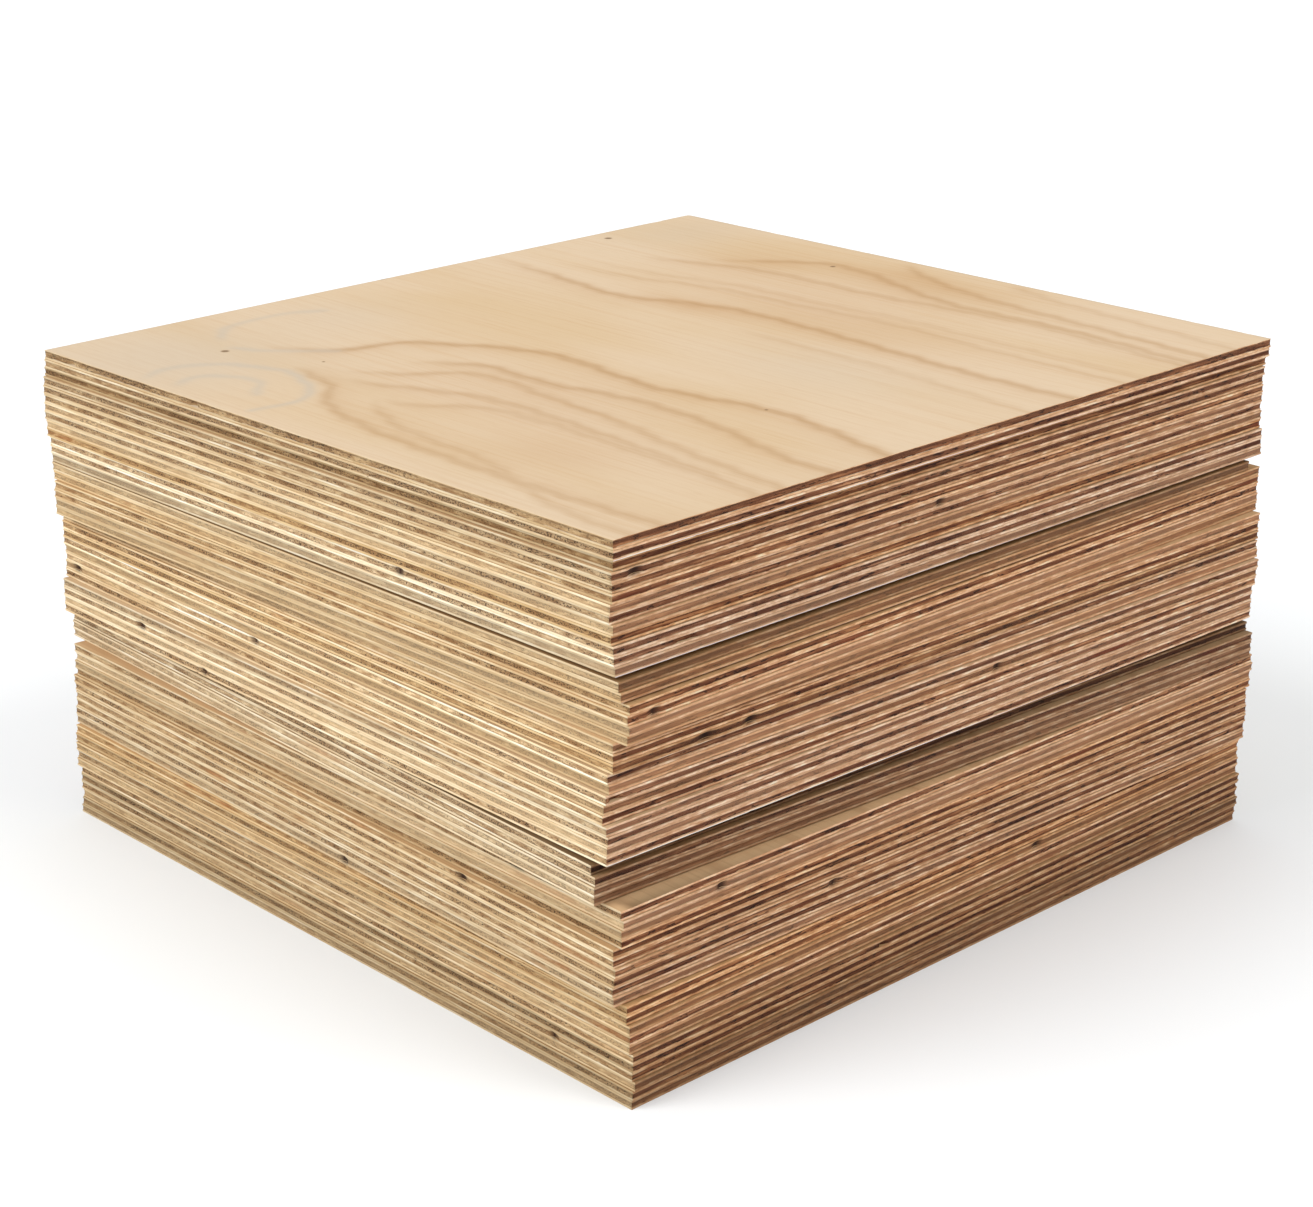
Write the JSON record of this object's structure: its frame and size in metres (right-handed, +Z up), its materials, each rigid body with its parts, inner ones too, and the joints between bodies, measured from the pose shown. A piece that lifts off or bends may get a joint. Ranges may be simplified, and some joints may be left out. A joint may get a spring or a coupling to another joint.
{
  "type": "stack of plywood sheets",
  "caption": "Free-standing stack of thin square-cut plywood sheets with uneven edges, light face veneers and darker cores.",
  "frame": {"origin": "centre of the stack's bounding box, on the floor that the lowest sheet lies on", "axes": "+X across the face grain of the sheets, +Y along the face grain, +Z up"},
  "size_m": [0.6305, 0.5926, 0.3646],
  "materials": {
    "plywood": "bare three-ply softwood plywood: pale rotary-cut face veneers, darker rough-sawn core edges, unsanded and unsealed"
  },
  "bodies": {
    "root": {"sheet_01": "plywood", "sheet_02": "plywood", "sheet_03": "plywood", "sheet_04": "plywood", "sheet_05": "plywood", "sheet_06": "plywood", "sheet_07": "plywood", "sheet_08": "plywood", "sheet_09": "plywood", "sheet_10": "plywood", "sheet_11": "plywood", "sheet_12": "plywood", "sheet_13": "plywood", "sheet_14": "plywood", "sheet_15": "plywood", "sheet_16": "plywood", "sheet_17": "plywood", "sheet_18": "plywood", "sheet_19": "plywood", "sheet_20": "plywood", "sheet_21": "plywood", "sheet_22": "plywood", "sheet_23": "plywood", "sheet_24": "plywood", "sheet_25": "plywood", "sheet_26": "plywood", "sheet_27": "plywood", "sheet_28": "plywood", "sheet_29": "plywood", "sheet_30": "plywood", "sheet_31": "plywood", "sheet_32": "plywood", "sheet_33": "plywood", "sheet_34": "plywood", "sheet_35": "plywood", "sheet_36": "plywood", "sheet_37": "plywood", "sheet_38": "plywood", "sheet_39": "plywood", "sheet_40": "plywood", "sheet_41": "plywood", "sheet_42": "plywood", "sheet_43": "plywood", "sheet_44": "plywood", "sheet_45": "plywood", "sheet_46": "plywood", "sheet_47": "plywood", "sheet_48": "plywood", "sheet_49": "plywood", "sheet_50": "plywood", "sheet_51": "plywood", "sheet_52": "plywood", "sheet_53": "plywood", "sheet_54": "plywood", "sheet_55": "plywood", "sheet_56": "plywood"}
  },
  "joints": []
}
